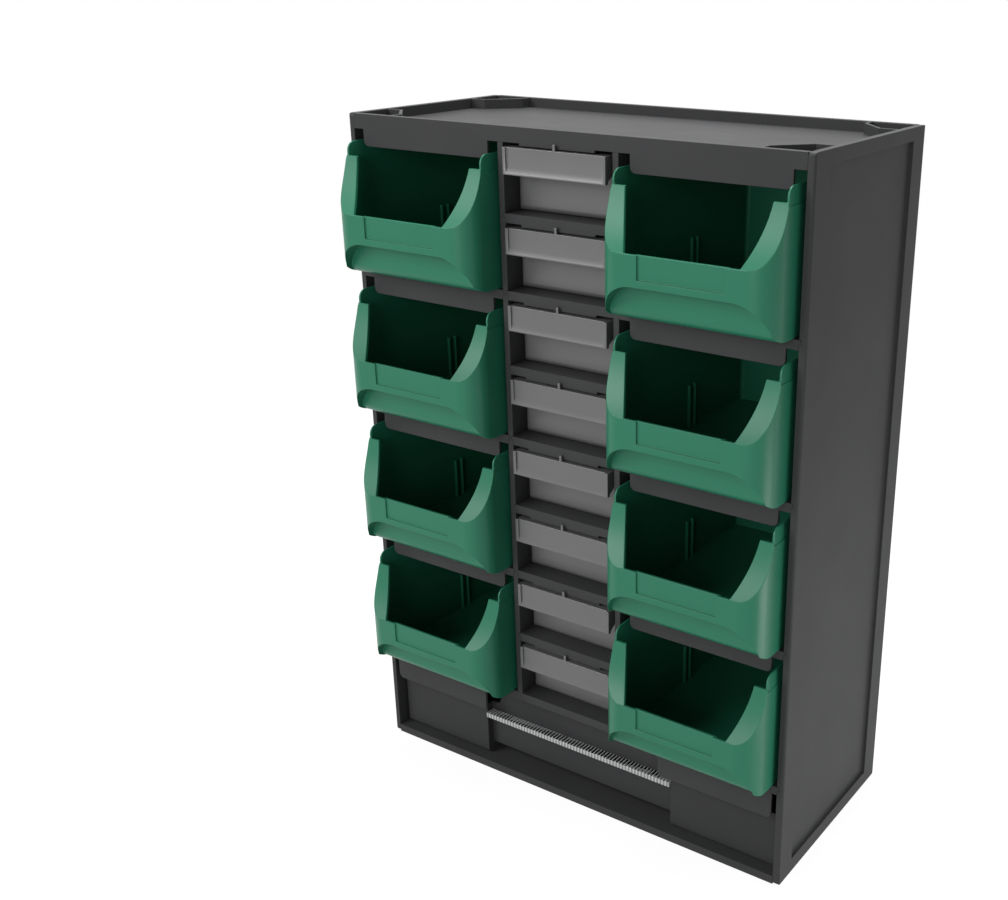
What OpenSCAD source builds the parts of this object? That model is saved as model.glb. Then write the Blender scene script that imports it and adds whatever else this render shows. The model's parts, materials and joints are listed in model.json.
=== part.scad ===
// Parts bin cabinet: a moulded plastic case with eight open-front bins, eight small
// drawers and one wide drawer. X runs to the right, the front looks towards -Y, and
// the origin is the middle of the cabinet's footprint on the table.

/* [Cabinet] */
// Depth of the cabinet, front edges to back face
cabinet_d = 140; // [125:1:170]
// Clear width of each bin column
bin_cell_w = 110; // [100:1:130]
// Clear height of a bin cell
bin_cell_h = 84.3; // [80:0.1:100]
// Clear width of the middle column of small drawers
mid_cell_w = 74; // [60:1:100]
// Clear height of the wide drawer's cell
wide_cell_h = 58.3; // [50:0.1:80]
// Number of bin rows
rows = 4; // [2:1:5]
// Small drawers beside each bin
drawers_per_row = 2; // [1:1:2]

/* [Case panels] */
// Thickness of a side panel at its border
side_t = 4.2; // [3.6:0.1:6]
// Depth of the sunk field in the outside of a side panel
side_recess = 2; // [0.5:0.1:2.2]
// Border of the sunk field at the front and the back
side_border_y = 16.5; // [8:0.5:30]
// Border of the sunk field at the bottom
side_border_low = 9.5; // [6:0.5:20]
// Border of the sunk field at the top
side_border_top = 7.5; // [6:0.5:20]
// Rounding of a side panel's outer upright edges
side_edge_r = 1.6; // [0.5:0.1:3]
// Rounding of a side panel's corners seen from the side
side_corner_r = 2.5; // [0.5:0.1:6]
// Thickness of the back panel
back_t = 3; // [2:0.1:4]
// Thickness of the two column dividers
divider_t = 3.8; // [3.4:0.1:6]
// Height of the base panel's skirt
base_h = 5.5; // [4:0.1:10]
// Thickness of the base panel's plate
base_plate_t = 2.5; // [1.5:0.1:3.5]
// Width of the ribs and skirt under the base panel
base_rib_t = 4; // [2:0.1:8]

/* [Top tray] */
// Depth of the tray below the rim
tray_depth = 6.2; // [4:0.1:12]
// Thickness of the tray floor
tray_floor_t = 2.6; // [1.5:0.1:4]
// Thickness of the tray's front and rear rims
rim_t = 4.2; // [2:0.1:6]
// Reach of a stacking pocket along the front and back rims
pocket_x = 28; // [20:1:40]
// Reach of a stacking pocket along the side rims
pocket_y = 27; // [20:1:40]
// Straight part of the pocket wall next to a side rim
pocket_straight_x = 11; // [6:1:16]
// Straight part of the pocket wall next to the front or back rim
pocket_straight_y = 8; // [4:1:14]
// Thickness of the pocket walls
pocket_wall = 1.8; // [1:0.1:3]

/* [Shelves] */
// Height of a shelf's front rail
shelf_h = 5.5; // [4:0.1:8]
// Thickness of a shelf's plate
shelf_t = 2.4; // [1.6:0.1:3.5]
// Depth of a shelf's front rail, front to back
rail_d = 4; // [2.5:0.1:8]
// How far a shelf's tongue reaches into the upright's groove
tongue = 1; // [0.6:0.1:1.3]
// Clearance round a tongue in its groove
groove_gap = 0.15; // [0.1:0.05:0.4]
// Clearance between a bin cell's hanging tab and the bin's side walls
tab_side_gap = 2.5; // [1.8:0.1:4]
// Height of a bin cell's hanging tab
tab_h = 10; // [5:0.5:12]
// Thickness of the hanging tabs
tab_t = 2; // [1.2:0.1:3]
// Rounding of the hanging tabs' lower corners
tab_r = 3.5; // [1:0.5:5]
// Height of a small cell's hanging tab
small_tab_h = 1.4; // [1:0.1:1.8]
// Width of the notch beside a small cell's hanging tab
small_notch_w = 11.5; // [5:0.5:15]
// Height of the two hanging tabs of the wide drawer's cell
wide_tab_h = 17.8; // [10:0.1:24]
// Width of the two hanging tabs of the wide drawer's cell
wide_tab_w = 79; // [50:1:85]
// Notch between such a tab and the side panel
wide_notch_w = 3.3; // [1:0.1:8]

/* [Bins] */
// How far a bin stands out of the cabinet
bin_out = 26.8; // [15:0.1:40]
// Clearance between a bin and each wall of its cell
bin_side_gap = 2.9; // [1:0.1:5]
// Clearance above a bin
bin_top_gap = 6.4; // [3:0.1:8]
// Clearance behind a bin
bin_back_gap = 0.8; // [0.5:0.1:3]
// Running gap under the bins and drawers
slide_gap = 0.3; // [0.3:0.05:0.6]
// Wall of a bin
bin_wall = 1.8; // [1.5:0.1:2.4]
// Floor of a bin
bin_floor = 2; // [1.2:0.1:3]
// Rounding of a bin's front upright corners
bin_corner_r = 14; // [6:1:20]
// Rounding of a bin's rear upright corners
bin_rear_r = 4; // [2:0.5:10]
// Height of the lip above the bin's underside
lip_z = 37.9; // [30:0.1:45]
// Height of the fold where the lip turns under
fold_z = 20.7; // [16:0.1:26]
// Height of the front flange's top step
step_z = 69.6; // [60:0.1:71]
// How far the flange's top step stands behind the lip
step_y = 15.4; // [8:0.1:20]
// How far behind the flange's top step the raised side walls start
shoulder_gap = 0.6; // [0.6:0.1:8]
// Rounding of the raised side walls' front corner
shoulder_r = 5.5; // [2:0.5:7]
// Height where the thinner rim band of the side walls starts
band_z = 68; // [62:0.5:70]
// How far the rim band steps in from the side wall
band_step = 0.3; // [0.1:0.05:0.4]
// How far the rim band leans in towards its top
band_lean = 0.4; // [0.1:0.1:0.5]
// Radius of the scoop in the side view
scoop_r = 80; // [50:1:150]
// Thickness of the front flange
flange_t = 1.8; // [1.2:0.1:2.6]
// Width of the front flange at its top step
flange_w = 8.9; // [5:0.1:14]
// Radius of the front opening's sides in the front view
opening_r = 103; // [80:1:200]
// Height of that radius's centre above the bin's side walls
opening_rise = 4; // [0:0.5:12]
// How far the finger grip is set back below the lip
grip_y = 11; // [6:0.5:18]
// Thickness of the side webs at the foot of the grip
web_t = 1.6; // [1.2:0.1:4]
// Rounding at the foot of the grip wall
grip_foot_r = 6; // [2:0.5:8]
// Rounding of the side webs' lower front corner
foot_r = 19; // [8:1:20]
// Width of the label recess in the lip
label_w = 52; // [30:1:64]
// Depth of the label recess
label_depth = 1.2; // [0.5:0.1:1.6]
// Height of the plain strip under the label recess
label_foot = 4.1; // [2:0.1:8]
// Distance from the lip to the first divider rib
rib_y = 94; // [60:1:120]
// Slot between the two divider ribs
rib_slot = 5; // [2:0.1:8]
// Thickness of a divider rib
rib_t = 1.2; // [0.8:0.1:2]
// How far a divider rib stands off the wall
rib_out = 1.8; // [1:0.1:3]
// Height of the divider ribs
rib_h = 28.8; // [15:0.1:50]
// Gap between the rear wall's cut-out and the hanging tab
rear_wall_gap = 1.5; // [0.8:0.1:1.6]

/* [Small drawers] */
// Gap between the label plate and the shelves' front rails
frame_gap = 0.8; // [0.3:0.1:4]
// How far the drawer's box is set back from the cabinet's front
box_setback = 11.5; // [8:0.5:20]
// Height of the label plate
frame_h = 15.1; // [10:0.1:20]
// Distance of the label plate's ends from the column dividers
frame_side_gap = 2.2; // [1.2:0.1:10]
// Wall of a small drawer
small_wall = 1.5; // [1:0.1:2]
// Clearance beside a small drawer
small_side_gap = 0.8; // [0.5:0.1:2]
// Clearance above a small drawer
small_top_gap = 2.1; // [2:0.1:4]
// Clearance behind a small drawer
small_back_gap = 2; // [0.5:0.1:4]
// Rounding of a small drawer's upright corners
small_corner_r = 3; // [1.6:0.1:6]
// Rounding of the lower front edge of a small drawer's box
small_foot_r = 3.6; // [2.2:0.1:6]
// Width of the rims beside the label field
frame_rim = 2.2; // [1:0.1:4]
// Depth of the label field behind the rims
field_depth = 1.2; // [0.5:0.1:2]
// Height of the sloped ledge under the label field
ledge_h = 4; // [2.5:0.1:6]
// Height of that ledge's front edge
ledge_foot = 1; // [0.5:0.1:2]
// Width of the nub on the label plate's top edge
nub_w = 1.7; // [1:0.1:4]
// Height of that nub
nub_h = 3.5; // [1:0.1:5]
// Height of the cheeks where they meet the drawer's box
cheek_rear_h = 6; // [3:0.5:12]

/* [Wide drawer] */
// How far the wide drawer's face is set back from the cabinet's front
face_setback = 7; // [3:0.5:14]
// Clearance beside the wide drawer
wide_side_gap = 1; // [0.5:0.1:3]
// Clearance between the drawer's wings and the hanging tabs
wide_top_gap = 1; // [0.8:0.1:4]
// Clearance above the raised middle of the face
crest_gap = 1.3; // [0.8:0.1:4]
// Clearance behind the wide drawer
wide_back_gap = 2; // [0.5:0.1:4]
// Wall of the wide drawer
wide_wall = 2; // [1.5:0.1:3]
// Rounding of the face's upright edges
face_edge_r = 3; // [1:0.1:5]
// Rounding of the face's lower edge
face_foot_r = 3.5; // [1:0.1:5]
// Rounding of the inside corners
wide_inner_r = 2; // [0.5:0.1:4]
// How far the recess in the face reaches past the raised middle
recess_margin = 6.3; // [3:0.1:12]
// Depth of that recess
recess_d = 5.5; // [3:0.1:8]
// Slope of the raised middle's side edges, width lost over its height
crest_taper = 6; // [2:0.5:12]
// Height of the finger slot's mouth under the recessed panel
finger_z = 7; // [5:0.1:12]
// Depth of the finger slot behind the recessed panel
finger_d = 12; // [6:0.5:20]

/* [Handle strip] */
// Height of the clear strip's underside above the drawer's underside
strip_z = 30; // [20:0.1:34]
// Height of the clear strip
strip_h = 3.3; // [2:0.1:5]
// How far the strip stands proud of the drawer's face
strip_out = 1.5; // [0.5:0.1:4]
// Clearance at each end of the strip
strip_end_gap = 0.4; // [0.2:0.1:1]
// Spacing of the strip's grip ribs
strip_pitch = 2.4; // [1.6:0.1:5]
// Radius of a grip rib
strip_rib_r = 0.5; // [0.3:0.05:0.7]

/* [Wall holes] */
// Distance between the two keyholes
keyhole_pitch = 200; // [100:1:240]
// Distance of the keyholes below the cabinet's top
keyhole_drop = 40; // [25:1:80]
// Radius of a keyhole's round entry
keyhole_r = 4.5; // [3.5:0.1:6]
// Half width of a keyhole's slot
keyhole_slot_r = 2.3; // [1.5:0.1:3]
// Length of a keyhole's slot
keyhole_rise = 9; // [6:0.5:15]

/* [Hidden] */
eps = 1;
shelf_count = rows - 1;
small_count = rows * drawers_per_row;

cabinet_w = mid_cell_w + 2 * (divider_t + bin_cell_w + side_t);
inner_w = cabinet_w - 2 * side_t;
inner_d = cabinet_d - back_t;
row_pitch = bin_cell_h + shelf_h;
wide_top_z = base_h + wide_cell_h;
rows_z = wide_top_z + shelf_h;
tray_z = rows_z + rows * row_pitch - shelf_h;
tray_top_z = tray_z + tray_floor_t;
cabinet_h = tray_top_z + tray_depth;
tab_root = tray_floor_t / 2;
column_x = mid_cell_w / 2 + divider_t + bin_cell_w / 2;
divider_x = mid_cell_w / 2 + divider_t / 2;
small_pitch = row_pitch / drawers_per_row;
small_cell_h = small_pitch - shelf_h;

bin_w = bin_cell_w - 2 * bin_side_gap;
bin_h = bin_cell_h - slide_gap - bin_top_gap;
bin_l = inner_d - bin_back_gap + bin_out;
bin_tab_w = bin_w - 2 * (bin_wall + tab_side_gap);
shoulder_y = step_y + shoulder_gap;
flange_reach = step_y + 2 * flange_t;
rear_wall_z = bin_cell_h - slide_gap - tab_h - rear_wall_gap;

small_w = mid_cell_w - 2 * small_side_gap;
small_h = small_cell_h - slide_gap - small_top_gap;
frame_w = mid_cell_w - 2 * frame_side_gap;
frame_out = field_depth + small_wall + frame_gap;
frame_z = small_h - frame_h;
box_y = frame_out + box_setback;
small_l = inner_d - small_back_gap + frame_out;

wide_w = inner_w - 2 * wide_side_gap;
wing_h = wide_cell_h - slide_gap - wide_tab_h - wide_top_gap;
crest_h = wide_cell_h - slide_gap - crest_gap;
crest_w = inner_w - 2 * (wide_notch_w + wide_tab_w) - 2 * wide_side_gap;
wide_l = inner_d - wide_back_gap - face_setback;
recess_w = crest_w + 2 * recess_margin;
strip_w = recess_w - 2 * strip_end_gap;
strip_d = recess_d + strip_out;

case_color = "#3b3c3e";
bin_color = "#1f6d50";
smoke_color = "#8b8d8f";
clear_color = "#d9dde0";

$fn = 64;

function row_z(row) = rows_z + (rows - row) * row_pitch;
function small_z(n) = rows_z + (small_count - n) * small_pitch;

// Centre of the circle of radius r through p and q, on the left of the way from p to q.
function arc_centre(p, q, r) =
    let (half = (q - p) / 2, rise = sqrt(r * r - half * half))
    (p + q) / 2 + rise * [-half.y, half.x] / norm(half);

// ---- Placing and sweeping -------------------------------------------------------

// Moves a shape measured from the cabinet's front face to the cabinet's own frame.
module from_front() {
    translate([0, -cabinet_d / 2, 0]) children();
}

// Sweeps an outline drawn in the side view (y, z) along X, centred.
module along_x(width) {
    rotate([90, 0, 90]) linear_extrude(width, center = true) children();
}

// Sweeps an outline drawn in the front view (x, z) along Y, from y0 backwards.
module along_y(y0, length) {
    translate([0, y0 + length, 0]) rotate([90, 0, 0]) linear_extrude(length) children();
}

// A box centred on X, from the corner (y0, z0).
module slab(width, y0, depth, z0, height) {
    translate([-width / 2, y0, z0]) cube([width, depth, height]);
}

// A rectangle centred on X with its front and rear corners rounded.
module plan_outline(width, depth, front_r, rear_r) {
    union() {
        translate([-width / 2, front_r]) square([width, depth - front_r - rear_r]);
        translate([-width / 2 + front_r, 0]) square([width - 2 * front_r, depth / 2]);
        translate([-width / 2 + rear_r, depth / 2]) square([width - 2 * rear_r, depth / 2]);
        for (side = [-1, 1]) {
            translate([side * (width / 2 - front_r), front_r]) circle(front_r);
            translate([side * (width / 2 - rear_r), depth - rear_r]) circle(rear_r);
        }
    }
}

// A rectangle centred on X, hanging from height z with its two lower corners rounded.
module tab_outline(width, height, z, r) {
    union() {
        translate([-width / 2, z - height + r]) square([width, height - r]);
        translate([-width / 2 + r, z - height]) square([width - 2 * r, height]);
        for (side = [-1, 1]) translate([side * (width / 2 - r), z - height + r]) circle(r);
    }
}

// Side view of a tub whose lower front edge is rounded, from the corner (y, z).
module tub_outline(y, z, length, height, r) {
    translate([y, z]) union() {
        translate([r, 0]) square([length - r, height]);
        translate([0, r]) square([r, height - r]);
        translate([r, r]) circle(r);
    }
}

// ---- Case -----------------------------------------------------------------------

// Grooves that take the tongues of the shelves on one face of an upright.
// Each entry of levels is the height of a shelf's top face.
module grooves(levels) {
    for (z = levels) {
        translate([-tongue - groove_gap, -eps, z - shelf_t])
            cube([2 * (tongue + groove_gap), inner_d + eps, shelf_t + groove_gap]);
    }
}

bin_levels = [for (r = [1:shelf_count]) row_z(r)];
small_levels = [for (n = [1:small_count - 1]) small_z(n)];

module side_outline() {
    r = side_corner_r;
    union() {
        translate([r, 0]) square([cabinet_d - 2 * r, cabinet_h]);
        translate([0, r]) square([cabinet_d, cabinet_h - 2 * r]);
        for (y = [r, cabinet_d - r], z = [r, cabinet_h - r]) translate([y, z]) circle(r);
    }
}

// The left panel; its outside looks towards -X and the right panel is its mirror image.
module side_panel() {
    field_d = cabinet_d - 2 * side_border_y;
    field_h = cabinet_h - side_border_low - side_border_top;
    r = side_edge_r;
    color(case_color) difference() {
        intersection() {
            linear_extrude(cabinet_h) union() {
                translate([-cabinet_w / 2 + r, 0]) square([side_t - r, cabinet_d]);
                translate([-cabinet_w / 2, r]) square([side_t, cabinet_d - 2 * r]);
                for (y = [r, cabinet_d - r]) translate([-cabinet_w / 2 + r, y]) circle(r);
            }
            along_x(2 * cabinet_w) side_outline();
        }
        translate([-cabinet_w / 2 - eps, side_border_y, side_border_low])
            cube([eps + side_recess, field_d, field_h]);
        translate([-inner_w / 2, 0, 0]) grooves(concat(bin_levels, [rows_z]));
    }
}

// A column divider stands on the drawer shelf and carries shelves on both faces.
module divider(side) {
    color(case_color) difference() {
        translate([side * divider_x - divider_t / 2, 0, rows_z])
            cube([divider_t, inner_d, tray_z - rows_z]);
        translate([side * (mid_cell_w / 2 + divider_t), 0, 0]) grooves(bin_levels);
        translate([side * mid_cell_w / 2, 0, 0]) grooves(small_levels);
    }
}

// Pocket wall in the tray's corner, drawn for the corner at the plan's origin.
module pocket_outline(inset) {
    translate([-eps, -eps]) polygon([
        [0, 0],
        [pocket_x - inset + eps, 0],
        [pocket_x - inset + eps, pocket_straight_y - inset / 2 + eps],
        [pocket_straight_x - inset / 2 + eps, pocket_y - inset + eps],
        [0, pocket_y - inset + eps]
    ]);
}

module pocket_wall_outline() {
    intersection() {
        difference() {
            pocket_outline(0);
            pocket_outline(pocket_wall);
        }
        square([pocket_x, pocket_y]);
    }
}

module top_tray() {
    color(case_color) union() {
        slab(inner_w, 0, cabinet_d, tray_z, tray_floor_t);
        slab(inner_w, 0, rim_t, tray_z, cabinet_h - tray_z);
        slab(inner_w, cabinet_d - rim_t, rim_t, tray_z, cabinet_h - tray_z);
        for (x = [0, 1], y = [0, 1]) {
            mirror([x, 0, 0])
                translate([-inner_w / 2, y * cabinet_d + (1 - 2 * y) * rim_t, tray_top_z])
                mirror([0, y, 0])
                linear_extrude(tray_depth) pocket_wall_outline();
        }
        for (side = [-1, 1]) {
            translate([side * column_x, 0, 0]) bin_tab(tray_z);
        }
        small_tab(tray_z);
    }
}

module base_panel() {
    rib_z = base_h - base_plate_t;
    color(case_color) union() {
        slab(inner_w, 0, cabinet_d, rib_z, base_plate_t);
        slab(inner_w, 0, base_rib_t, 0, rib_z);
        slab(inner_w, cabinet_d - base_rib_t, base_rib_t, 0, rib_z);
        slab(inner_w, (cabinet_d - base_rib_t) / 2, base_rib_t, 0, rib_z);
        for (x = [-1, 0, 1]) {
            translate([x * (inner_w - base_rib_t) / 2, 0, 0])
                slab(base_rib_t, 0, cabinet_d, 0, rib_z);
        }
    }
}

module keyhole() {
    union() {
        circle(keyhole_r);
        translate([-keyhole_slot_r, 0]) square([2 * keyhole_slot_r, keyhole_rise]);
        translate([0, keyhole_rise]) circle(keyhole_slot_r);
    }
}

module back_panel() {
    color(case_color) difference() {
        slab(inner_w, inner_d, back_t, base_h, tray_z - base_h);
        along_y(inner_d - eps, back_t + 2 * eps) {
            for (side = [-1, 1]) {
                translate([side * keyhole_pitch / 2, cabinet_h - keyhole_drop]) keyhole();
            }
        }
    }
}

// ---- Shelves --------------------------------------------------------------------

// Tab that hangs below height z and is rooted in the rail or floor above it.
module hanging_tab(width, height, z) {
    along_y(0, tab_t) tab_outline(width, height + tab_root, z + tab_root, tab_r);
}

// Tab that closes the gap above a bin, between the bin's side walls.
module bin_tab(z) {
    hanging_tab(bin_tab_w, tab_h, z);
}

module small_tab(z) {
    slab(mid_cell_w - 2 * small_notch_w, 0, tab_t, z - small_tab_h, small_tab_h + tab_root);
}

// Plate with a tongue at each end and a deeper front rail; z is its top face.
module shelf_body(width, z) {
    union() {
        slab(width + 2 * tongue, 0, inner_d, z - shelf_t, shelf_t);
        slab(width, 0, rail_d, z - shelf_h, shelf_h);
    }
}

module bin_shelf(side, row) {
    color(case_color) translate([side * column_x, 0, 0]) union() {
        shelf_body(bin_cell_w, row_z(row));
        bin_tab(row_z(row) - shelf_h);
    }
}

module middle_shelf(n) {
    color(case_color) union() {
        shelf_body(mid_cell_w, small_z(n));
        small_tab(small_z(n) - shelf_h);
    }
}

// The full-width shelf between the bin rows and the wide drawer.
module drawer_shelf() {
    color(case_color) union() {
        shelf_body(inner_w, rows_z);
        for (side = [-1, 1]) {
            translate([side * (inner_w / 2 - wide_notch_w - wide_tab_w / 2), 0, 0])
                hanging_tab(wide_tab_w, wide_tab_h, wide_top_z);
        }
    }
}

// ---- Bins -----------------------------------------------------------------------
// A bin is drawn with y = 0 at its lip and z = 0 at its underside.

scoop_centre = arc_centre([0, lip_z], [step_y, step_z], scoop_r);

// Side view of the whole bin: round foot, lip, scoop, flange step and raised shoulder.
module bin_side_outline() {
    difference() {
        union() {
            translate([foot_r, 0]) square([bin_l - foot_r, step_z]);
            translate([0, foot_r]) square([foot_r, step_z - foot_r]);
            translate([foot_r, foot_r]) circle(foot_r, $fn = 96);
            translate([shoulder_y, foot_r]) square([bin_l - shoulder_y, bin_h - shoulder_r - foot_r]);
            translate([shoulder_y + shoulder_r, foot_r])
                square([bin_l - shoulder_y - shoulder_r, bin_h - foot_r]);
            translate([shoulder_y + shoulder_r, bin_h - shoulder_r]) circle(shoulder_r);
        }
        intersection() {
            translate(scoop_centre) circle(scoop_r, $fn = 256);
            translate([-eps, lip_z]) square([step_y + 2 * eps, step_z - lip_z + eps]);
        }
    }
}

// Side view of the hollow, which leaves the front flange one thickness behind the scoop.
module bin_hollow_outline() {
    difference() {
        union() {
            translate([foot_r, bin_floor]) square([bin_l - foot_r - bin_wall, bin_h]);
            translate([bin_wall, foot_r]) square([foot_r, bin_h]);
            intersection() {
                translate([foot_r, foot_r]) circle(foot_r - bin_wall, $fn = 96);
                translate([0, bin_floor]) square([2 * foot_r, foot_r]);
            }
        }
        intersection() {
            translate(scoop_centre) circle(scoop_r + flange_t, $fn = 256);
            translate([-eps, lip_z]) square([flange_reach + eps, step_z - lip_z]);
        }
    }
}

// Front view of the opening above the lip: two arcs that draw in towards the lip.
module bin_opening_outline() {
    half_w = bin_w / 2 - flange_w;
    centre_z = bin_h + opening_rise;
    reach = sqrt(pow(opening_r, 2) - pow(centre_z - step_z, 2));
    intersection() {
        translate([half_w - reach, centre_z]) circle(opening_r, $fn = 256);
        translate([reach - half_w, centre_z]) circle(opening_r, $fn = 256);
        translate([-bin_w / 2, lip_z]) square([bin_w, bin_h]);
    }
}

// Front view of the finger grip, an arch that springs from the foot of the side webs,
// grown by wall.
module grip_outline(wall) {
    r = fold_z + wall;
    centre_x = bin_w / 2 - web_t - fold_z;
    union() {
        translate([-centre_x, -r]) square([2 * centre_x, 2 * r]);
        for (side = [-1, 1]) translate([side * centre_x, 0]) circle(r, $fn = 96);
    }
}

// Side view of the space under the lip, grown by wall; the grip wall's foot is rounded.
module grip_side_outline(wall) {
    r = grip_foot_r - wall;
    rear = grip_y + wall;
    low = wall > 0 ? bin_floor : 0;
    difference() {
        union() {
            translate([-eps, -eps]) square([rear + eps, fold_z + wall + eps]);
            translate([-eps, -eps]) square([rear + r + eps, low + r + eps]);
        }
        translate([rear + r, low + r]) circle(r);
    }
}

// The finger grip's space: wall = 0 cuts it out, and a wall thickness keeps the skin round it.
module grip_space(wall) {
    intersection() {
        along_y(-eps, bin_l / 2) grip_outline(wall);
        along_x(bin_w) grip_side_outline(wall);
    }
}

// One pair of ribs that holds a cross divider, on the wall at side.
module divider_ribs(side) {
    wall_x = bin_w / 2 - bin_wall;
    for (y = [rib_y, rib_y + rib_slot + rib_t]) {
        translate([side * wall_x - rib_out, y, bin_floor])
            cube([2 * rib_out, rib_t, rib_h - bin_floor]);
    }
}

// Front view of what the rim band takes off the outside of the right side wall.
module band_outline() {
    outer = bin_w / 2 + eps;
    inner = bin_w / 2 - band_step;
    polygon([
        [inner, band_z],
        [outer, band_z],
        [outer, bin_h + eps],
        [inner - band_lean, bin_h + eps],
        [inner - band_lean, bin_h]
    ]);
}

module bin_body() {
    color(bin_color) difference() {
        union() {
            difference() {
                intersection() {
                    linear_extrude(bin_h) plan_outline(bin_w, bin_l, bin_corner_r, bin_rear_r);
                    along_x(bin_w) bin_side_outline();
                }
                difference() {
                    intersection() {
                        translate([0, bin_wall, 0]) linear_extrude(2 * bin_h) plan_outline(
                            bin_w - 2 * bin_wall,
                            bin_l - 2 * bin_wall,
                            bin_corner_r - bin_wall,
                            bin_rear_r - bin_wall
                        );
                        along_x(bin_w) bin_hollow_outline();
                    }
                    grip_space(bin_wall);
                }
            }
            slab(label_w + 2 * bin_wall, bin_wall, label_depth,
                fold_z + bin_wall, lip_z - fold_z - bin_wall);
            intersection() {
                for (side = [-1, 1]) divider_ribs(side);
                slab(bin_w - bin_wall, 0, bin_l, 0, bin_h);
            }
        }
        along_y(-eps, flange_reach + eps) bin_opening_outline();
        grip_space(0);
        slab(label_w, -eps, label_depth + eps, fold_z + label_foot, lip_z);
        slab(bin_tab_w + 2 * rear_wall_gap, bin_l - bin_rear_r, bin_rear_r + eps, rear_wall_z, bin_h);
        for (x = [0, 1]) mirror([x, 0, 0]) along_y(-eps, bin_l + 2 * eps) band_outline();
    }
}

module bin(side, row) {
    translate([side * column_x, -bin_out, row_z(row) + slide_gap]) bin_body();
}

// ---- Small drawers --------------------------------------------------------------
// A drawer is drawn with y = 0 at its label plate and z = 0 at its underside.

// Side view of a cheek between the label plate and the drawer's box.
module cheek_outline() {
    polygon([
        [0, frame_z],
        [0, small_h],
        [box_y + small_wall, small_h],
        [box_y + small_wall, small_h - cheek_rear_h],
        [box_y, small_h - cheek_rear_h]
    ]);
}

// Side view of the space before the label field, which a sloped ledge bounds below.
module label_field_outline() {
    polygon([
        [-eps, frame_z + ledge_foot],
        [0, frame_z + ledge_foot],
        [field_depth, frame_z + ledge_h],
        [field_depth, small_h + eps],
        [-eps, small_h + eps]
    ]);
}

module label_plate() {
    difference() {
        slab(frame_w, 0, field_depth + small_wall, frame_z, frame_h);
        along_x(frame_w - 2 * frame_rim) label_field_outline();
    }
}

// A box with rounded upright edges and a rounded lower front edge, from y to y + length
// and from z upwards.
module small_box(y, z, width, length, corner_r, front_foot_r) {
    intersection() {
        translate([0, y, z]) linear_extrude(small_h) plan_outline(width, length, corner_r, corner_r);
        along_x(width) tub_outline(y, z, length, small_h, front_foot_r);
    }
}

module small_drawer_body() {
    box_l = small_l - box_y;
    color(smoke_color) union() {
        difference() {
            small_box(box_y, 0, small_w, box_l, small_corner_r, small_foot_r);
            small_box(
                box_y + small_wall,
                small_wall,
                small_w - 2 * small_wall,
                box_l - 2 * small_wall,
                small_corner_r - small_wall,
                small_foot_r - small_wall
            );
        }
        label_plate();
        slab(frame_w, field_depth, box_y + small_wall - field_depth, small_h - small_wall, small_wall);
        slab(nub_w, field_depth, small_wall, small_h - small_wall, small_wall + nub_h);
        for (side = [-1, 1]) {
            translate([side * (frame_w - small_wall) / 2, 0, 0])
                along_x(small_wall) cheek_outline();
        }
    }
}

module small_drawer(n) {
    translate([0, -frame_out, small_z(n) + slide_gap]) small_drawer_body();
}

// ---- Wide drawer ----------------------------------------------------------------
// The drawer is drawn with y = 0 at its face and z = 0 at its underside.

// Front view of the recessed middle, which rises between the two hanging tabs.
module crest_outline() {
    top = crest_w / 2 - crest_taper;
    polygon([
        [-crest_w / 2, 0],
        [crest_w / 2, 0],
        [crest_w / 2, wing_h],
        [top, crest_h],
        [-top, crest_h],
        [-crest_w / 2, wing_h]
    ]);
}

module wide_drawer_body() {
    pocket_w = recess_w + 2 * wide_wall;
    slot_l = recess_d + finger_d;
    color(case_color) difference() {
        union() {
            intersection() {
                linear_extrude(wing_h) plan_outline(wide_w, wide_l, face_edge_r, face_edge_r);
                along_x(wide_w) tub_outline(0, 0, wide_l, wing_h, face_foot_r);
                union() {
                    difference() {
                        slab(wide_w, 0, wide_l, 0, wing_h);
                        translate([0, wide_wall, wide_wall]) linear_extrude(wing_h) plan_outline(
                            wide_w - 2 * wide_wall,
                            wide_l - 2 * wide_wall,
                            wide_inner_r,
                            wide_inner_r
                        );
                    }
                    slab(pocket_w, 0, recess_d + wide_wall, 0, wing_h);
                    slab(pocket_w, 0, slot_l + wide_wall, 0, finger_z + wide_wall);
                }
            }
            along_y(recess_d, wide_wall) crest_outline();
        }
        slab(recess_w, -eps, recess_d + eps, -eps, wing_h + 2 * eps);
        slab(recess_w, -eps, slot_l + eps, -eps, finger_z + eps);
    }
}

module wide_drawer() {
    translate([0, face_setback, base_h + slide_gap]) wide_drawer_body();
}

// Clear bar with fine cross ribs along its top, seated against the recessed panel.
module handle_strip() {
    rib_count = floor((strip_w - 2 * strip_pitch) / strip_pitch);
    color(clear_color)
        translate([0, face_setback - strip_out, base_h + slide_gap + strip_z]) union() {
            slab(strip_w, 0, strip_d, 0, strip_h);
            for (i = [0:rib_count]) {
                translate([(i - rib_count / 2) * strip_pitch, strip_rib_r, strip_h])
                    rotate([-90, 0, 0])
                    cylinder(h = strip_d - 2 * strip_rib_r, r = strip_rib_r, $fn = 24);
            }
        }
}

// ---- Assembly -------------------------------------------------------------------

from_front() side_panel();  // side_panel_left
from_front() mirror([1, 0, 0]) side_panel();  // side_panel_right
from_front() top_tray();
from_front() base_panel();
from_front() back_panel();
from_front() divider(-1);  // divider_left
from_front() divider(1);  // divider_right
from_front() drawer_shelf();
for (r = [1:shelf_count]) {
    from_front() bin_shelf(-1, r);
    from_front() bin_shelf(1, r);
}
for (n = [1:small_count - 1]) {
    from_front() middle_shelf(n);
}
for (r = [1:rows]) {
    from_front() bin(-1, r);
    from_front() bin(1, r);
}
for (n = [1:small_count]) {
    from_front() small_drawer(n);
}
from_front() wide_drawer();
from_front() handle_strip();
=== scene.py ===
import json
import math

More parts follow.
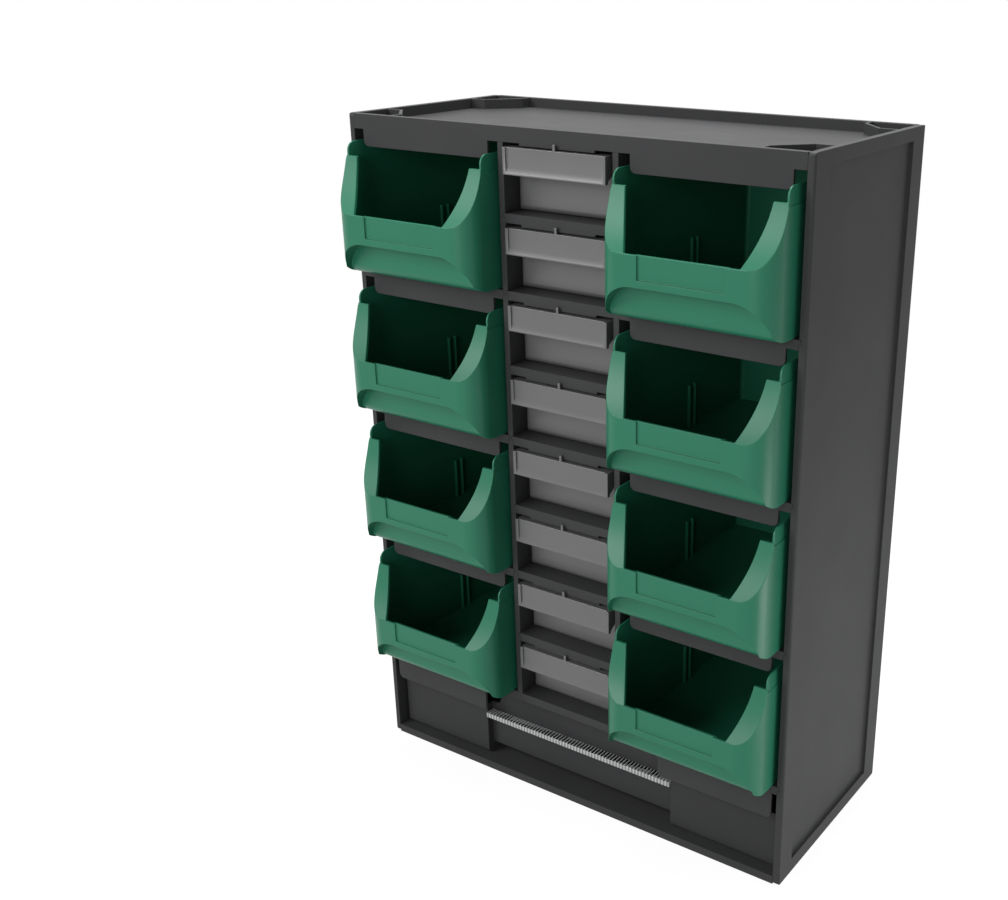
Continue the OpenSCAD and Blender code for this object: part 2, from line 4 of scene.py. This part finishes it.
import bmesh
import bpy
import numpy as np
from mathutils import Matrix, Vector

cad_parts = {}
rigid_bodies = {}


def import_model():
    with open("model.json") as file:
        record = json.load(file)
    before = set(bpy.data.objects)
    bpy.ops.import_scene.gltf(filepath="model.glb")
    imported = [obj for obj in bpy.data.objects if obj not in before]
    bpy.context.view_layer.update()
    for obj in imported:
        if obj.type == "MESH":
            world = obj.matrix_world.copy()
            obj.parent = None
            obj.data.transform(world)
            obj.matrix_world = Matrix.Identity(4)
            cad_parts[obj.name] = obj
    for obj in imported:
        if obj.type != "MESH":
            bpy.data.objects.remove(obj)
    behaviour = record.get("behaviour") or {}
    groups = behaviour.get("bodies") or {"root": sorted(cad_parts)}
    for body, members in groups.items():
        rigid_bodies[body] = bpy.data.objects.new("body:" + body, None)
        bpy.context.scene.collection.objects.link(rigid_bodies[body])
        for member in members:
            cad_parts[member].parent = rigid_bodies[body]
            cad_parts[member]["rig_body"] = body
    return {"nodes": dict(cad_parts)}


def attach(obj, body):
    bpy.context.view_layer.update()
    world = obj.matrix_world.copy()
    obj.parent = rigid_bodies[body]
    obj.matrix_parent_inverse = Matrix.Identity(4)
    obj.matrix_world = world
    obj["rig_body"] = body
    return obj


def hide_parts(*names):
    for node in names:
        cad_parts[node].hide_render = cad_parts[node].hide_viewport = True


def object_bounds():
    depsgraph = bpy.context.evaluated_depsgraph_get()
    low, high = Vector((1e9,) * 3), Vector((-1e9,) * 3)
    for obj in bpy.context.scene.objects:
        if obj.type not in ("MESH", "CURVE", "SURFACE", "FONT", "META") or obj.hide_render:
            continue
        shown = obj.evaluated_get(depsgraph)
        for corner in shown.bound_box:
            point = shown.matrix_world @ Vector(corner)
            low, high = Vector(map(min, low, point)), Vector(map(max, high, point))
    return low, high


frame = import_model()
cad_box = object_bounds()


# ---- Side panels ----------------------------------------------------------------
# Two upright panels of charcoal polypropylene, injection moulded with a sunk field
# on the outside. They carry the tray, the base and one end of every outer shelf.

MM = 0.001
CASE_EDGE = 0.25 * MM
CASE_GREY = (0.038, 0.0385, 0.0395, 1.0)

# Limits for joining a part's faces, for rounding its edges and for shading it.
MERGE = 0.02 * MM
SLIVER = MERGE / 20
FLAT_ANGLE = math.radians(0.1)
SHARP_ANGLE = math.radians(30)
REACH_PER_RADIUS = 2.2
SMOOTH_COS = math.cos(math.radians(25))
ARC_GAP = 0.12 * MM
ARC_COS = math.cos(math.radians(15))
TINY = 1e-9

# Sizes, details and strengths of the noises in moulded plastic.
TONE_CLOUD, TONE_DETAIL = 60 * MM, 2.0
GLOSS_CLOUD, GLOSS_DETAIL = 25 * MM, 3.0
GLOSS_SPREAD = 0.05
GRAIN_SIZE, GRAIN_DETAIL = 0.5 * MM, 1.0
GRAIN_STRENGTH = 0.5


def arc_normals(shape, rounds, skip):
    """Normals of the faces of shape that lie on one of the listed round surfaces.

    A round surface is (axis, centre, radius). Its normal at p is p - centre without the
    part along the axis, scaled to length 1, so chords shade like the true arc. A face
    is on it when all its corners are within ARC_GAP of the radius and its own normal is
    within 15 degrees. The result maps (face index, vertex index) to a normal, and faces
    in skip are left out."""
    places = np.array([vert.co[:] for vert in shape.verts])
    found = {}
    for axis, centre, radius in rounds:
        away = places - np.array(centre)
        away[:, axis] = 0
        distance = np.linalg.norm(away, axis=1)
        near = abs(distance - radius) < ARC_GAP
        away /= np.maximum(distance, TINY)[:, None]
        for face in shape.faces:
            verts = [vert.index for vert in face.verts]
            if face in skip or (face.index, verts[0]) in found or not near[verts].all():
                continue
            middle = Vector(away[verts].mean(axis=0))
            share = middle.dot(face.normal) / max(middle.length, TINY)
            if abs(share) > ARC_COS:
                side = 1 if share > 0 else -1
                for vert in verts:
                    found[face.index, vert] = Vector(away[vert]) * side
    return found


def face_reach(edge):
    """How far the narrower of an edge's two faces reaches away from it: the distance of
    its farthest corner from the edge's line."""
    start = edge.verts[0].co
    along = (edge.verts[1].co - start).normalized()
    reach = []
    for face in edge.link_faces:
        away = [vert.co - start for vert in face.verts]
        reach.append(max((side - along * side.dot(along)).length for side in away))
    return min(reach)


def shading_normals(shape, rounds, bevels):
    """One normal for each corner of each face of shape, in the order of the faces.

    A corner on a listed round surface takes that surface's normal. Elsewhere it is the
    mean of the faces round the vertex within 25 degrees, weighted by area. A bevel's
    corner takes the normal of the neighbour that faces most as the bevel does, and
    without such a neighbour the weighted mean of all faces round the vertex."""
    own = arc_normals(shape, rounds, bevels)
    weighted = {face: face.normal * face.calc_area() for face in shape.faces}
    flats = [[f for f in vert.link_faces if f not in bevels] for vert in shape.verts]
    for face in shape.faces:
        if face in bevels:
            continue
        for vert in face.verts:
            if (face.index, vert.index) not in own:
                total = Vector((0, 0, 0))
                for flat in flats[vert.index]:
                    if flat.normal.dot(face.normal) > SMOOTH_COS:
                        total += weighted[flat]
                own[face.index, vert.index] = total.normalized()
    normals = []
    for face in shape.faces:
        for vert in face.verts:
            if face not in bevels:
                normals.append(own[face.index, vert.index])
                continue
            beside = [own[flat.index, vert.index] for flat in flats[vert.index]]
            if beside:
                normals.append(max(beside, key=face.normal.dot))
            else:
                total = sum((weighted[f] for f in vert.link_faces), Vector((0, 0, 0)))
                normals.append(total.normalized())
    return normals


def moulding(node, plastic, radius, rounds=()):
    """A moulded part's visible piece: a copy of its mesh with sharp edges rounded.

    The copy's doubles are merged and its flat areas joined. Each edge of more than 30
    degrees whose two faces both reach further than REACH_PER_RADIUS times the radius
    gets a bevel of two faces. The normals are those of shading_normals."""
    mesh = frame["nodes"][node].data.copy()
    mesh.materials.clear()
    shape = bmesh.new()
    shape.from_mesh(mesh)
    bmesh.ops.remove_doubles(shape, verts=shape.verts, dist=MERGE)
    bmesh.ops.dissolve_degenerate(shape, dist=SLIVER, edges=shape.edges)
    bmesh.ops.dissolve_limit(
        shape, angle_limit=FLAT_ANGLE, verts=shape.verts, edges=shape.edges
    )
    sharp = [
        edge for edge in shape.edges
        if edge.is_manifold and edge.calc_face_angle(0) > SHARP_ANGLE
        and face_reach(edge) > REACH_PER_RADIUS * radius
    ]
    made = bmesh.ops.bevel(
        shape, geom=sharp, offset=radius, offset_type="OFFSET", segments=2, profile=0.5,
        affect="EDGES", clamp_overlap=False, miter_outer="SHARP", miter_inner="SHARP",
    )
    shape.verts.index_update()
    shape.faces.index_update()
    shape.normal_update()
    for face in shape.faces:
        face.smooth = True
    normals = shading_normals(shape, rounds, set(made["faces"]))
    shape.to_mesh(mesh)
    shape.free()
    mesh.normals_split_custom_set(normals)
    mesh.materials.append(plastic)

    piece = bpy.data.objects.new(node + "_moulding", mesh)
    bpy.context.scene.collection.objects.link(piece)
    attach(piece, frame["nodes"][node]["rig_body"])
    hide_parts(node)


def moulded_plastic(
    name, colour, roughness, grain_depth, tone_share, sheen, clearness=0.0
):
    """Moulded plastic: a fine spark-eroded grain, with slow changes of tone and gloss.

    Tone is colour times 1 +- tone_share along a cloudy noise of TONE_CLOUD, and
    roughness changes by GLOSS_SPREAD along a second one of GLOSS_CLOUD. The grain is a
    bump of a noise of GRAIN_SIZE. Sheen is the shader's specular level and clearness
    its transmission."""
    material = bpy.data.materials.new(name)
    material.use_nodes = True
    nodes, links = material.node_tree.nodes, material.node_tree.links
    shader = nodes["Principled BSDF"]
    shader.inputs["Specular IOR Level"].default_value = sheen
    shader.inputs["Transmission Weight"].default_value = clearness
    place = nodes.new("ShaderNodeTexCoord").outputs["Object"]

    def cloud(size, detail):
        noise = nodes.new("ShaderNodeTexNoise")
        noise.inputs["Scale"].default_value = 1 / size
        noise.inputs["Detail"].default_value = detail
        links.new(place, noise.inputs["Vector"])
        return noise.outputs["Fac"]

    tone = nodes.new("ShaderNodeMix")
    tone.data_type = "RGBA"
    tone.inputs["A"].default_value = [c * (1 - tone_share) for c in colour[:3]] + [1]
    tone.inputs["B"].default_value = [c * (1 + tone_share) for c in colour[:3]] + [1]
    links.new(cloud(TONE_CLOUD, TONE_DETAIL), tone.inputs["Factor"])
    links.new(tone.outputs["Result"], shader.inputs["Base Color"])

    gloss = nodes.new("ShaderNodeMapRange")
    gloss.inputs["To Min"].default_value = roughness - GLOSS_SPREAD
    gloss.inputs["To Max"].default_value = roughness + GLOSS_SPREAD
    links.new(cloud(GLOSS_CLOUD, GLOSS_DETAIL), gloss.inputs["Value"])
    links.new(gloss.outputs["Result"], shader.inputs["Roughness"])

    grain = nodes.new("ShaderNodeBump")
    grain.inputs["Strength"].default_value = GRAIN_STRENGTH
    grain.inputs["Distance"].default_value = grain_depth
    links.new(cloud(GRAIN_SIZE, GRAIN_DETAIL), grain.inputs["Height"])
    links.new(grain.outputs["Normal"], shader.inputs["Normal"])
    return material


charcoal = moulded_plastic(
    "charcoal_polypropylene", CASE_GREY, roughness=0.45, grain_depth=0.02 * MM,
    tone_share=0.12, sheen=0.06,
)
for node in ("side_panel_left", "side_panel_right"):
    moulding(node, charcoal, CASE_EDGE)


# ---- Base, back, dividers and shelves -------------------------------------------
# Flat panels of the same charcoal plastic. The shelves' tongues sit in grooves of
# the uprights, and each shelf carries a deeper rail and a hanging tab at its front.

inner_case = [
    name
    for name in frame["nodes"]
    if name in ("base_panel", "back_panel", "drawer_shelf")
    or name.startswith(("divider_", "shelf_"))
]
for node in inner_case:
    moulding(node, charcoal, CASE_EDGE)


# ---- Top tray -------------------------------------------------------------------
# A shallow tray of the same plastic closes the cabinet between the side panels. Its
# four corner pockets locate another cabinet stacked on top.

moulding("top_tray", charcoal, CASE_EDGE)


# ---- Bins -----------------------------------------------------------------------
# Eight open-front bins of green polypropylene, each moulded in one shot with a
# scoop-shaped front flange, a label recess and a finger grip.

BIN_EDGE = 0.4 * MM
BIN_GREEN = (0.015, 0.125, 0.072, 1.0)
ALONG_X, ALONG_Y, ALONG_Z = 0, 1, 2

# A bin's round surfaces in millimetres: axis, centre, and radii of the faces on both
# sides of the wall. The origin is the middle of its lip, level with its underside.
BIN_ROUNDS = [
    (ALONG_X, (0, -62.49, 87.85), (80, 81.8)),  # scoop of the front flange
    (ALONG_X, (0, 19, 19), (19, 17.2)),  # front foot
    (ALONG_X, (0, 17, 6), (6,)),  # foot of the grip's wall, outside
    (ALONG_X, (0, 17, 6.2), (4.2,)),  # foot of the grip's wall, inside
    (ALONG_X, (0, 21.5, 72.1), (5.5,)),  # raised shoulder
]
for side in (-1, 1):
    BIN_ROUNDS += [
        (ALONG_Z, (side * 38.1, 14, 0), (14, 12.2)),  # front corner
        (ALONG_Z, (side * 48.1, 159, 0), (4, 2.2)),  # rear corner
        (ALONG_Y, (side * 29.8, 0, 0), (20.7, 22.5)),  # arch of the finger grip
        (ALONG_Y, (side * 59.1, 0, 81.6), (103,)),  # side of the front opening
    ]

green = moulded_plastic(
    "green_polypropylene", BIN_GREEN, roughness=0.36, grain_depth=0.012 * MM,
    tone_share=0.05, sheen=0.24,
)
for node in [name for name in frame["nodes"] if name.startswith("bin_")]:
    corners = np.array([vert.co[:] for vert in frame["nodes"][node].data.vertices])
    low, high = corners.min(axis=0), corners.max(axis=0)
    origin = np.array([(low[0] + high[0]) / 2, low[1], low[2]])
    rounds = [
        (axis, origin + np.array(centre) * MM, radius * MM)
        for axis, centre, radii in BIN_ROUNDS
        for radius in radii
    ]
    moulding(node, green, BIN_EDGE, rounds)


# ---- Small drawers --------------------------------------------------------------
# Eight drawers of smoky grey styrene with a raised label frame. The thin walls let
# a little light through.

SMALL_DRAWER_EDGE = 0.3 * MM
SMOKE_GREY = (0.085, 0.085, 0.085, 1.0)

smoke = moulded_plastic(
    "smoky_styrene", SMOKE_GREY, roughness=0.36, grain_depth=0.004 * MM,
    tone_share=0.04, sheen=0.7, clearness=0.1,
)
for node in [name for name in frame["nodes"] if name.startswith("small_drawer_")]:
    moulding(node, smoke, SMALL_DRAWER_EDGE)


# ---- Wide drawer ----------------------------------------------------------------
# One wide drawer in a darker charcoal polypropylene. Its front is sunk in the middle,
# under two hanging tabs, with a finger slot along the foot of the sunk panel.

DRAWER_GREY = (0.032, 0.0325, 0.0335, 1.0)

dark_charcoal = moulded_plastic(
    "drawer_polypropylene", DRAWER_GREY, roughness=0.4, grain_depth=0.015 * MM,
    tone_share=0.12, sheen=0.06,
)
moulding("wide_drawer", dark_charcoal, CASE_EDGE)


# ---- Handle strip ---------------------------------------------------------------
# A clear styrene bar with fine cross ribs on its top, pressed into the recess of
# the wide drawer's front.

STRIP_EDGE = 0.15 * MM
CLEAR_GREY = (0.42, 0.425, 0.43, 1.0)
RIB_PITCH = 2.4 * MM
# Darkest tone of the painted shade between the ribs, as a share of the plastic's tone.
RIB_SHADE = 0.3
HALF_TURN = math.pi

clear = moulded_plastic(
    "clear_styrene", CLEAR_GREY, roughness=0.18, grain_depth=0.002 * MM,
    tone_share=0.02, sheen=0.9, clearness=0.1,
)


def paint_shade_between_ribs(material):
    """Painted shade between the ribs, also on the front edge, where the mesh has no ribs.

    The tone is multiplied by a wave along X that runs from RIB_SHADE between the ribs
    to 1 on them: the cosine of one turn for each RIB_PITCH of x, plus half a turn,
    because the middle of the strip lies between two ribs."""
    nodes, links = material.node_tree.nodes, material.node_tree.links
    shader = nodes["Principled BSDF"]
    tone = shader.inputs["Base Color"].links[0].from_socket
    along = nodes.new("ShaderNodeSeparateXYZ")
    links.new(nodes.new("ShaderNodeTexCoord").outputs["Object"], along.inputs[0])
    turns = nodes.new("ShaderNodeMath")
    turns.operation = "MULTIPLY_ADD"
    turns.inputs[1].default_value = 2 * math.pi / RIB_PITCH
    turns.inputs[2].default_value = HALF_TURN
    links.new(along.outputs["X"], turns.inputs[0])
    wave = nodes.new("ShaderNodeMath")
    wave.operation = "COSINE"
    links.new(turns.outputs[0], wave.inputs[0])
    shade = nodes.new("ShaderNodeMapRange")
    shade.inputs["From Min"].default_value = -1.0
    shade.inputs["To Min"].default_value = RIB_SHADE
    links.new(wave.outputs[0], shade.inputs["Value"])
    shaded = nodes.new("ShaderNodeMix")
    shaded.data_type = "RGBA"
    shaded.blend_type = "MULTIPLY"
    shaded.inputs["Factor"].default_value = 1.0
    links.new(tone, shaded.inputs["A"])
    links.new(shade.outputs["Result"], shaded.inputs["B"])
    links.new(shaded.outputs["Result"], shader.inputs["Base Color"])


# Painted shade between the strip's ribs, on its top and on its front edge.
paint_shade_between_ribs(clear)
moulding("handle_strip", clear, STRIP_EDGE)


# ---- Studio ---------------------------------------------------------------------
# A plain white floor that keeps the cabinet's shadow, a pale room and four soft
# lamps.

WHITE = (1.0, 1.0, 1.0, 1.0)
FLOOR_REACH = 20.0
FLOOR_GREY = (0.55, 0.55, 0.55, 1.0)
# Near the cabinet a share of the floor is seen as plain glow and the rest as the matt
# floor with its shadow. Both run to plain white from NEAR to FAR, in metres.
GLOW_SHARE, GLOW_STRENGTH = 0.7, 1.26
NEAR, FAR = 0.6, 1.8
ROOM_LIGHT = 0.26

floor_mesh = bpy.data.meshes.new("studio_floor")
corners = [(-1, -1), (1, -1), (1, 1), (-1, 1)]
floor_mesh.from_pydata(
    [(x * FLOOR_REACH, y * FLOOR_REACH, 0) for x, y in corners], [], [(0, 1, 2, 3)]
)
floor = bpy.data.objects.new("studio_floor", floor_mesh)
bpy.context.scene.collection.objects.link(floor)


def seen_white(tree, plain, white, share=None):
    """Mixes two shaders: camera, glossy and transmission rays see white, others plain.

    The mix is the largest of those three kinds of ray, each 0 or 1, times share."""
    rays = tree.nodes.new("ShaderNodeLightPath").outputs
    seen = rays["Is Camera Ray"]
    for operation, other in (
        ("MAXIMUM", rays["Is Glossy Ray"]),
        ("MAXIMUM", rays["Is Transmission Ray"]),
        ("MULTIPLY", share),
    ):
        if other is not None:
            step = tree.nodes.new("ShaderNodeMath")
            step.operation = operation
            tree.links.new(seen, step.inputs[0])
            tree.links.new(other, step.inputs[1])
            seen = step.outputs[0]
    mix = tree.nodes.new("ShaderNodeMixShader")
    for socket, source in zip(mix.inputs, (seen, plain, white)):
        tree.links.new(source, socket)
    return mix.outputs[0]


white_floor = bpy.data.materials.new("studio_floor")
white_floor.use_nodes = True
tree = white_floor.node_tree
tree.nodes.clear()
distance = tree.nodes.new("ShaderNodeVectorMath")
distance.operation = "LENGTH"
tree.links.new(
    tree.nodes.new("ShaderNodeTexCoord").outputs["Object"], distance.inputs[0]
)


def by_distance(near_value):
    """A value that runs from near_value at NEAR metres from the cabinet to 1 at FAR."""
    ramp = tree.nodes.new("ShaderNodeMapRange")
    ramp.inputs["From Min"].default_value = NEAR
    ramp.inputs["From Max"].default_value = FAR
    ramp.inputs["To Min"].default_value = near_value
    ramp.inputs["To Max"].default_value = 1.0
    tree.links.new(distance.outputs["Value"], ramp.inputs["Value"])
    return ramp.outputs["Result"]


matt = tree.nodes.new("ShaderNodeBsdfDiffuse")
matt.inputs["Color"].default_value = FLOOR_GREY
glow = tree.nodes.new("ShaderNodeEmission")
glow.inputs["Color"].default_value = WHITE
tree.links.new(by_distance(GLOW_STRENGTH), glow.inputs["Strength"])
out = tree.nodes.new("ShaderNodeOutputMaterial")
seen_floor = seen_white(tree, matt.outputs[0], glow.outputs[0], by_distance(GLOW_SHARE))
tree.links.new(seen_floor, out.inputs["Surface"])
floor_mesh.materials.append(white_floor)

room = bpy.data.worlds.new("studio_room")
bpy.context.scene.world = room
room.use_nodes = True
room_tree = room.node_tree
room_tree.nodes.clear()
light = room_tree.nodes.new("ShaderNodeBackground")
light.inputs["Color"].default_value = WHITE
light.inputs["Strength"].default_value = ROOM_LIGHT
backdrop = room_tree.nodes.new("ShaderNodeBackground")
backdrop.inputs["Color"].default_value = WHITE
backdrop.inputs["Strength"].default_value = 1.0
out = room_tree.nodes.new("ShaderNodeOutputWorld")
seen_room = seen_white(room_tree, light.outputs[0], backdrop.outputs[0])
room_tree.links.new(seen_room, out.inputs["Surface"])

middle = (Vector(cad_box[0]) + Vector(cad_box[1])) / 2


def soft_lamp(name, place, size, power):
    """A square area lamp of the given size, at place, aimed at the cabinet's middle."""
    data = bpy.data.lights.new(name, "AREA")
    data.shape = "SQUARE"
    data.size = size
    data.energy = power
    lamp = bpy.data.objects.new(name, data)
    bpy.context.scene.collection.objects.link(lamp)
    lamp.location = place
    lamp.rotation_euler = (lamp.location - middle).to_track_quat("Z", "Y").to_euler()


soft_lamp("key_lamp", place=(-0.8, -1.25, 1.1), size=0.8, power=18)
soft_lamp("front_lamp", place=(0.3, -2.1, 0.75), size=1.0, power=20)
soft_lamp("top_lamp", place=(-0.05, 0.25, 1.35), size=0.7, power=22)
soft_lamp("side_lamp", place=(0.42, -0.03, 0.06), size=0.2, power=0.7)


# ---- Camera ---------------------------------------------------------------------
# Stands to the right of the front, a little above the cabinet. Its shift places the
# cabinet right of the image's middle.

IMAGE_W, IMAGE_H = 1008, 900
CAMERA_PLACE = (426.3 * MM, -637.2 * MM, 514.96 * MM)
AZIMUTH, ELEVATION, ROLL = (math.radians(angle) for angle in (33.06, 21.55, 0.20))
FOCAL_PX = 1280.0
PRINCIPAL_PX = (643.2, 470.0)
SENSOR_W = 36.0

camera_data = bpy.data.cameras.new("camera")
camera_data.sensor_width = SENSOR_W
camera_data.lens = SENSOR_W * FOCAL_PX / IMAGE_W
camera_data.shift_x = (IMAGE_W / 2 - PRINCIPAL_PX[0]) / IMAGE_W
camera_data.shift_y = (PRINCIPAL_PX[1] - IMAGE_H / 2) / IMAGE_W
camera = bpy.data.objects.new("camera", camera_data)
bpy.context.scene.collection.objects.link(camera)
backward = Vector((
    math.sin(AZIMUTH) * math.cos(ELEVATION),
    -math.cos(AZIMUTH) * math.cos(ELEVATION),
    math.sin(ELEVATION),
))
right = Vector((0, 0, 1)).cross(backward).normalized()
upward = backward.cross(right)
turn = Matrix((right, upward, backward)).transposed().to_4x4()
camera.matrix_world = (
    Matrix.Translation(CAMERA_PLACE) @ turn @ Matrix.Rotation(ROLL, 4, "Z")
)
bpy.context.scene.camera = camera
bpy.context.scene.view_settings.view_transform = "Standard"
